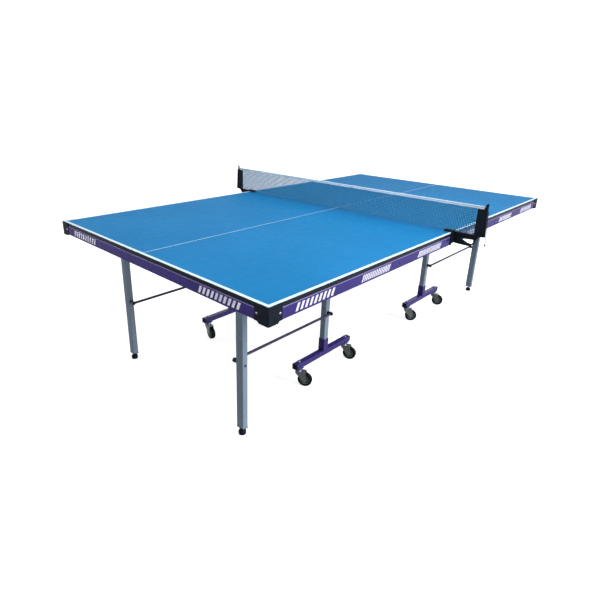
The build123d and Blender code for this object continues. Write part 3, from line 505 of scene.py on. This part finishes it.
def add_tube(work, points, radius, sides, closed=False):
    """Adds a tube through the points to a bmesh; radius is one number or one for each point."""
    points = [Vector(point) for point in points]
    radii = radius if isinstance(radius, list) else [radius] * len(points)
    count = len(points)
    rings = []
    for index, (point, reach) in enumerate(zip(points, radii)):
        if closed:
            before, after = points[index - 1], points[(index + 1) % count]
        else:
            before, after = points[max(0, index - 1)], points[min(count - 1, index + 1)]
        along = (after - before).normalized()
        side = along.cross(Vector((1, 0, 0)) if abs(along.x) < 0.9 else Vector((0, 0, 1))).normalized()
        other = along.cross(side)
        ring = []
        for step in range(sides):
            turn = 2 * math.pi * (step + 0.5) / sides
            ring.append(work.verts.new(point + reach * (side * math.cos(turn) + other * math.sin(turn))))
        rings.append(ring)
    pairs = list(zip(rings, rings[1:]))
    if closed:
        pairs.append((rings[-1], rings[0]))
    for first, second in pairs:
        for step in range(sides):
            following = (step + 1) % sides
            work.faces.new((first[step], first[following], second[following], second[step]))
    if not closed:
        work.faces.new(rings[0][::-1])
        work.faces.new(rings[-1])


def add_box(work, place, low, high, slot=0):
    """Adds a box between two corners, in the frame that place gives."""
    corners = [
        work.verts.new(place @ Vector((x, y, z)))
        for x in (low[0], high[0]) for y in (low[1], high[1]) for z in (low[2], high[2])
    ]
    for ring in ((0, 1, 3, 2), (4, 6, 7, 5), (0, 4, 5, 1), (2, 3, 7, 6), (0, 2, 6, 4), (1, 5, 7, 3)):
        face = work.faces.new([corners[index] for index in ring])
        face.material_index = slot


def add_lathe(work, place, profile, steps=48, slot=0):
    """Adds a solid turned from (radius, height) points about place's Z; a radius of 0 closes an end."""
    rings = []
    for radius, height in profile:
        if radius == 0:
            rings.append([work.verts.new(place @ Vector((0, 0, height)))])
            continue
        turns = [2 * math.pi * step / steps for step in range(steps)]
        rings.append([
            work.verts.new(place @ Vector((radius * math.cos(turn), radius * math.sin(turn), height)))
            for turn in turns
        ])
    pairs = list(zip(rings, rings[1:]))
    if len(rings[0]) > 1:
        pairs.append((rings[-1], rings[0]))
    for first, second in pairs:
        for step in range(steps):
            following = (step + 1) % steps
            if len(first) == 1:
                corners = (first[0], second[step], second[following])
            elif len(second) == 1:
                corners = (first[step], second[0], first[following])
            else:
                corners = (first[step], second[step], second[following], first[following])
            face = work.faces.new(corners)
            face.smooth = True
            face.material_index = slot


def frame_at(point, axis):
    """Matrix whose origin is the point and whose Z is the axis."""
    axis = Vector(axis).normalized()
    side = axis.cross(Vector((0, 0, 1)) if abs(axis.z) < 0.9 else Vector((1, 0, 0))).normalized()
    turned = Matrix((side, axis.cross(side), axis)).transposed().to_4x4()
    return Matrix.Translation(point) @ turned


# ================================================================ tension cord
def make_cord():
    """The thin tension cord down the right-hand post, running down to its bead."""
    data = bpy.data.curves.new("tension_cord", "CURVE")
    data.dimensions = "3D"
    data.bevel_depth = CORD_RADIUS
    data.bevel_resolution = 4
    data.resolution_u = 12
    data.use_fill_caps = True
    spline = data.splines.new("NURBS")
    spline.points.add(len(CORD_ROUTE) - 1)
    for point, (y, z) in zip(spline.points, CORD_ROUTE):
        point.co = (CORD_X, y, z, 1.0)
    spline.order_u = 3
    spline.use_endpoint_u = True
    data.materials.append(LOOKS["cord"])
    cord = bpy.data.objects.new("tension_cord", data)
    scene.collection.objects.link(cord)
    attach(cord, "top_a")
    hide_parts("net_cord")


make_cord()


# ================================================================ net and tape
def make_net():
    """Square-meshed net with a thicker cord along its foot."""
    low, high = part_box("net_mesh")
    middle_x = (low.x + high.x) / 2
    width, height = high.y - low.y, high.z - low.z
    columns, rows = round(width / NET_PITCH), round(height / NET_PITCH)
    thread = THREAD_WIDTH / math.sqrt(2)
    work = bmesh.new()

    def crossing(column, row):
        y = low.y + width * column / columns
        z = low.z + NET_LIFT + (height - NET_LIFT) * row / rows
        y += NET_UNEVEN_Y * math.sin(1.7 * row + 0.9 * column)
        z += NET_UNEVEN_Z * math.sin(2.3 * column + 1.1 * row) if 0 < row < rows else 0.0
        return Vector((middle_x, min(max(y, low.y), high.y), z))

    for column in range(columns + 1):
        add_tube(work, [crossing(column, row) for row in range(rows + 1)], thread, 4)
    for row in range(rows + 1):
        points = [crossing(column, row) for column in range(columns + 1)]
        add_tube(work, points, thread * (1.0 if row else FOOT_THREAD), 4)
    net = add_object("net_lattice", mesh_from("net_lattice", work), LOOKS["net_cloth"], "top_a")
    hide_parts("net_mesh")


def make_tape():
    """White tape folded over the net's top cord, sewn through near its lower edges."""
    low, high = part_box("net_tape")
    middle = (low.x + high.x) / 2
    outer, wall, height = (high.x - low.x) / 2, TAPE_WALL, high.z - low.z
    shoulder, crown, lining = (height - drop for drop in (TAPE_SHOULDER, TAPE_CROWN, TAPE_LINING))
    section = [
        (-outer, 0), (-outer, shoulder), (-0.75 * outer, crown), (0, height),
        (0.75 * outer, crown), (outer, shoulder), (outer, 0),
        (outer - wall, 0), (outer - wall, shoulder), (0.5 * outer, lining),
        (0, height - wall), (-0.5 * outer, lining), (wall - outer, shoulder), (wall - outer, 0),
    ]
    work = bmesh.new()
    rings = []
    for step in range(TAPE_STEPS + 1):
        y = low.y + (high.y - low.y) * step / TAPE_STEPS
        ring = []
        for x, z in section:
            lift = TAPE_RIPPLE * (1 - z / height) * (1 + math.sin(0.9 * step + 2.0 * x / outer))
            pinch = 1.0 - TAPE_PINCH * (1 + math.sin(1.3 * step)) * (1 - z / height)
            ring.append(work.verts.new((middle + x * pinch, y, low.z + z + lift)))
        rings.append(ring)
    count = len(section)
    for first, second in zip(rings, rings[1:]):
        for index in range(count):
            following = (index + 1) % count
            work.faces.new((first[index], first[following], second[following], second[index]))
    work.faces.new(rings[0][::-1])
    work.faces.new(rings[-1])
    tape = add_object("tape_band", mesh_from("tape_band", work), LOOKS["net_tape"], "top_a", smooth=True)
    round_edges(tape, 0.0002)
    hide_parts("net_tape")

    work = bmesh.new()
    stitch_low, stitch_high = (low.z + height for height in STITCH_HEIGHTS)
    for index in range(int((high.y - low.y) / STITCH_PITCH)):
        y = low.y + STITCH_PITCH * (index + 0.4)
        for face in (-1, 1):
            skin = middle + face * (outer - 0.0001)
            inner, proud = sorted((skin - face * STITCH_IN, skin + face * STITCH_PROUD))
            add_box(work, Matrix(), (inner, y, stitch_low), (proud, y + STITCH_LENGTH, stitch_high))
    stitches = add_object("tape_stitches", mesh_from("tape_stitches", work), THREAD_GREY, "top_a")


make_net()
make_tape()


# ================================================================ edges of the steel and plastic
EDGE_WIDTHS = {             # link pins stay sharper, because the rods' eyes run close to their spacers
    "apron": 0.0005, "corner_caps": 0.0012, "under_beams": 0.0003, "hinge_brackets": 0.0004,
    "hinge_bolts": 0.0006, "end_legs": 0.0004, "leg_plugs": 0.0006, "link_bolts": 0.0006,
    "link_rods": 0.0006, "uprights": 0.0004, "bases": 0.0005, "base_plugs": 0.0008,
    "caster_stems": 0.0005, "link_pins": 0.0003,
}
FORK_EDGE = 0.0004
POST_EDGE = 0.0006
CLAMP_SCREW_EDGE = 0.0008
for half in HALVES:
    for kind, width in EDGE_WIDTHS.items():
        soften(f"{kind}_{half}", width)
    for side in SIDES:
        for place in PLACES:
            soften(f"fork_{half}_{side}_{place}", FORK_EDGE)
for side in SIDES:
    soften(f"net_post_{side}", POST_EDGE)
    soften(f"clamp_screw_{side}", CLAMP_SCREW_EDGE)


# ================================================================ wheels
TYRE = [                    # (radius, height along the axle)
    (0.02503, -0.0105), (0.0270, -0.0110), (0.0340, -0.0110), (0.0360, -0.0102), (0.0372, -0.0084),
    (0.0375, -0.0058), (0.0375, 0.0058), (0.0372, 0.0084), (0.0360, 0.0102), (0.0340, 0.0110),
    (0.0270, 0.0110), (0.02503, 0.0105),
]
HUB = [
    (0.00406, -0.0120), (0.0086, -0.0120), (0.0094, -0.0114), (0.0100, -0.0070), (0.0112, -0.0050),
    (0.0190, -0.0046), (0.0202, -0.0056), (0.0208, -0.0098), (0.0214, -0.0104), (0.0244, -0.0104),
    (0.0250, -0.0098), (0.0250, 0.0098), (0.0244, 0.0104), (0.0214, 0.0104), (0.0208, 0.0098),
    (0.0202, 0.0056), (0.0190, 0.0046), (0.0112, 0.0050), (0.0100, 0.0070), (0.0094, 0.0114),
    (0.0086, 0.0120), (0.00406, 0.0120),
]
RIBS = 6
RIB_REACH, RIB_HALF = (0.0096, 0.0208), 0.0011
RIB_HEIGHTS = ((-0.0086, -0.0040), (0.0040, 0.0086))


def make_wheel(name):
    """Rubber tyre with rounded shoulders on a dished, ribbed hub."""
    joint = JOINTS[f"roll_{name}"]
    place = frame_at(joint["pos_m"], joint["axis"])
    work = bmesh.new()
    add_lathe(work, place, TYRE, 64)
    add_lathe(work, place, HUB, 48, slot=1)
    for rib in range(RIBS):
        spoke = place @ Matrix.Rotation(2 * math.pi * rib / RIBS, 4, "Z")
        for low, high in RIB_HEIGHTS:
            add_box(work, spoke, (RIB_REACH[0], -RIB_HALF, low), (RIB_REACH[1], RIB_HALF, high), slot=1)
    stand_in(f"wheel_{name}", work, (LOOKS["wheel_rubber"], HUB_GREY), f"wheel_{name}")


for half in HALVES:
    for side in SIDES:
        for place in PLACES:
            make_wheel(f"{half}_{side}_{place}")


# ================================================================ levellers and small screws
def make_leveller(name):
    """Domed foot with a grip groove on a threaded stem."""
    low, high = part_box(f"leveller_{name}")
    place = Matrix.Translation(((low.x + high.x) / 2, (low.y + high.y) / 2, low.z))
    stem_high = high.z - low.z
    thread = [(0, STEM_LOW)]
    level = STEM_THREAD_LOW
    while level < stem_high - STEM_TIP:
        for radius, share in ((STEM_ROOT, 0.0), (STEM_CREST, 0.4), (STEM_ROOT, 0.8)):
            thread.append((radius, level + share * STEM_PITCH))
        level += STEM_PITCH
    thread += [(STEM_ROOT, stem_high), (0, stem_high)]
    work = bmesh.new()
    add_lathe(work, place, LEVELLER_FOOT, 48)
    add_lathe(work, place, thread, 24, slot=1)
    stand_in(f"leveller_{name}", work, (LOOKS["black_plastic"], LOOKS["zinc_steel"]), f"leveller_{name}")


def add_screw(work, place, turn):
    """Adds a pan-head screw whose cross recess is a dark block, painted shade."""
    add_lathe(work, place, PAN_HEAD, 24)
    cross = place @ Matrix.Rotation(turn, 4, "Z")
    low, high = RECESS_HEIGHTS
    # painted shade: a dark block in the recess's place
    for x, y in ((RECESS_LENGTH, RECESS_HALF), (RECESS_HALF, RECESS_LENGTH)):
        add_box(work, cross, (-x, -y, low), (x, y, high), slot=1)


def make_cap_screws(half):
    """Four pan-head screws in the corner caps of one half."""
    low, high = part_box(f"cap_screws_{half}")
    caps_low, caps_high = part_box(f"corner_caps_{half}")
    away, skin_x = (-1, caps_low.x) if half == "a" else (1, caps_high.x)
    level = (low.z + high.z) / 2
    work = bmesh.new()
    for index, sign in enumerate((-1, 1)):
        skin_y = sign * caps_high.y
        end_place = (skin_x, skin_y - sign * CAP_SCREW_INSET, level)
        side_place = (skin_x - away * CAP_SCREW_INSET, skin_y, level)
        add_screw(work, frame_at(end_place, (away, 0, 0)), 0.4 + index)
        add_screw(work, frame_at(side_place, (0, sign, 0)), 1.1 + index)
    stand_in(f"cap_screws_{half}", work, (LOOKS["zinc_steel"], RECESS_SHADE), f"top_{half}")


def make_carriage_details(half):
    """Bolt heads low on the uprights, and the weld beads round the sleeves."""
    low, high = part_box(f"uprights_{half}")
    middle = (low.x + high.x) / 2
    bolts = bmesh.new()
    welds = bmesh.new()
    corners = [(-1, -1), (1, -1), (1, 1), (-1, 1)]
    for sign in (-1, 1):
        for away, skin in ((-1, low.x), (1, high.x)):
            add_screw(bolts, frame_at((skin, sign * UPRIGHT_Y, UPRIGHT_BOLT_Z), (away, 0, 0)), 0.7 * sign)
        path, radii = [], []
        for (x0, y0), (x1, y1) in zip(corners, corners[1:] + corners[:1]):
            for step in range(WELD_STEPS):
                part = step / WELD_STEPS
                x = middle + WELD_REACH * (x0 + (x1 - x0) * part)
                y = min(max(y0 + (y1 - y0) * part, -WELD_ACROSS), WELD_ACROSS)
                path.append((x, sign * UPRIGHT_Y + WELD_REACH * y, WELD_Z))
                radii.append(WELD_RADIUS + WELD_RIPPLE * math.sin(2.6 * len(path)))
        add_tube(welds, path, radii, 8, closed=True)
    name, body = f"upright_bolts_{half}", f"carriage_{half}"
    add_object(name, mesh_from(name, bolts), (LOOKS["zinc_steel"], RECESS_SHADE), body)
    name = f"weld_beads_{half}"
    bead = add_object(name, mesh_from(name, welds), LOOKS["apron_paint"], body, smooth=True)


for half in HALVES:
    for side in SIDES:
        make_leveller(f"{half}_{side}")
    make_cap_screws(half)
    make_carriage_details(half)


# ================================================================ stripes on the apron
def add_stripes(work, place, start, stop, bar):
    """Adds slanted bars from start to stop along place's X, standing on its XZ face."""
    gap = STRIPE_GAP * bar
    count = int((stop - start - STRIPE_SLANT + gap) / (bar + gap))
    step = (stop - start - STRIPE_SLANT - bar) / (count - 1)
    for index in range(count):
        left = start + step * index
        outline = [
            (left, STRIPE_LOW), (left + bar, STRIPE_LOW),
            (left + bar + STRIPE_SLANT, STRIPE_HIGH), (left + STRIPE_SLANT, STRIPE_HIGH),
        ]
        back, front = (
            [work.verts.new(place @ Vector((x, depth, z))) for x, z in outline]
            for depth in (STRIPE_ROOT, -STRIPE_THICK)
        )
        work.faces.new(front)
        for first in range(4):
            second = (first + 1) % 4
            work.faces.new((front[first], back[first], back[second], front[second]))


def make_stripes(half):
    """Plain slanted stripes along the apron's sides and end."""
    low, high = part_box(f"apron_{half}")
    away, end_x = (-1, low.x) if half == "a" else (1, high.x)
    end = Matrix.Translation((end_x, 0, 0)) @ Matrix.Rotation(away * math.pi / 2, 4, "Z")
    work = bmesh.new()
    for sign in (-1, 1):
        face = Matrix.Translation((0, sign * high.y, 0))
        if sign == 1:
            face = face @ Matrix.Rotation(math.pi, 4, "Z")
        for near, far, bar in SIDE_STRIPES:
            start, stop = sorted((-sign * away * near, -sign * away * far))
            add_stripes(work, face, start, stop, bar)
        for near, far, bar in END_STRIPES:
            start, stop = sorted((sign * near, sign * far))
            add_stripes(work, end, start, stop, bar)
    name = f"apron_stripes_{half}"
    stripes = add_object(name, mesh_from(name, work), STRIPE_WHITE, f"top_{half}")


def make_edge_band(half):
    """Thin dark banding glued round the board's outer edges."""
    low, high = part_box(f"tabletop_{half}")
    inner, outer, sign = (high.x, low.x, -1) if half == "a" else (low.x, high.x, 1)
    path = [
        (inner, low.y - BAND_THICK), (outer + sign * BAND_THICK, low.y - BAND_THICK),
        (outer + sign * BAND_THICK, high.y + BAND_THICK), (inner, high.y + BAND_THICK),
        (inner, high.y - BAND_THICK), (outer - sign * BAND_THICK, high.y - BAND_THICK),
        (outer - sign * BAND_THICK, low.y + BAND_THICK), (inner, low.y + BAND_THICK),
    ]
    work = bmesh.new()
    levels = (low.z + BAND_ABOVE_UNDER, high.z - BAND_BELOW_TOP)
    bottom, top = ([work.verts.new((x, y, z)) for x, y in path] for z in levels)
    count = len(path)
    for first in range(count):
        second = (first + 1) % count
        work.faces.new((bottom[first], bottom[second], top[second], top[first]))
    for ring in (bottom, top):
        for first in range(3):
            work.faces.new((ring[first], ring[first + 1], ring[count - 2 - first], ring[count - 1 - first]))
    name = f"edge_band_{half}"
    band = add_object(name, mesh_from(name, work), EDGE_BAND, f"top_{half}")
    round_edges(band, 0.0001, 1)


for half in HALVES:
    make_stripes(half)
    make_edge_band(half)


# ================================================================ stage
def make_ground():
    """Pale floor and white backdrop, seen by the camera but not by what they surround."""
    mesh = bpy.data.meshes.new("studio_floor")
    reach = FLOOR_REACH
    corners = [(-reach, -reach, 0), (reach, -reach, 0), (reach, reach, 0), (-reach, reach, 0)]
    mesh.from_pydata(corners, [], [(0, 1, 2, 3)])
    mesh.materials.append(pale_floor())
    floor = bpy.data.objects.new("studio_floor", mesh)
    scene.collection.objects.link(floor)
    work = bmesh.new()
    bmesh.ops.create_icosphere(work, subdivisions=4, radius=BACKDROP_RADIUS)
    backdrop = bpy.data.objects.new("studio_backdrop", mesh_from("studio_backdrop", work))
    backdrop.data.materials.append(white_backdrop())
    scene.collection.objects.link(backdrop)
    for thing in (floor, backdrop):
        thing.visible_diffuse = False
        thing.visible_glossy = False
    backdrop.visible_transmission = False
    backdrop.visible_shadow = False


def make_surroundings():
    """Pale light from all round, darker low down and towards -X."""
    world = bpy.data.worlds.new("studio")
    world.use_nodes = True
    tree = world.node_tree
    background = tree.nodes["Background"]
    direction = tree.nodes.new("ShaderNodeTexCoord")
    parts = tree.nodes.new("ShaderNodeSeparateXYZ")
    tree.links.new(direction.outputs["Generated"], parts.inputs[0])
    product = tree.nodes.new("ShaderNodeMath")
    product.operation = "MULTIPLY"
    for place, (axis, values) in enumerate(WORLD_RAMPS):
        ramp = tree.nodes.new("ShaderNodeMapRange")
        for index, value in enumerate(values, 1):
            ramp.inputs[index].default_value = value
        tree.links.new(parts.outputs[axis], ramp.inputs[0])
        tree.links.new(ramp.outputs[0], product.inputs[place])
    tree.links.new(product.outputs[0], background.inputs["Strength"])
    background.inputs["Color"].default_value = (1.0, 1.0, 1.0, 1.0)
    scene.world = world


def make_lights():
    """Soft studio lights."""
    for name, place, aim, size, spread, power in LIGHTS:
        data = bpy.data.lights.new(name, "AREA")
        data.shape = "RECTANGLE"
        data.size, data.size_y = size
        data.spread = math.radians(spread)
        data.energy = power
        lamp = bpy.data.objects.new(name, data)
        scene.collection.objects.link(lamp)
        lamp.visible_camera = False
        lamp.location = place
        lamp.rotation_mode = "QUATERNION"
        lamp.rotation_quaternion = (Vector(aim) - Vector(place)).to_track_quat("-Z", "Y")


make_ground()
make_surroundings()
make_lights()
scene.view_settings.view_transform = "Standard"
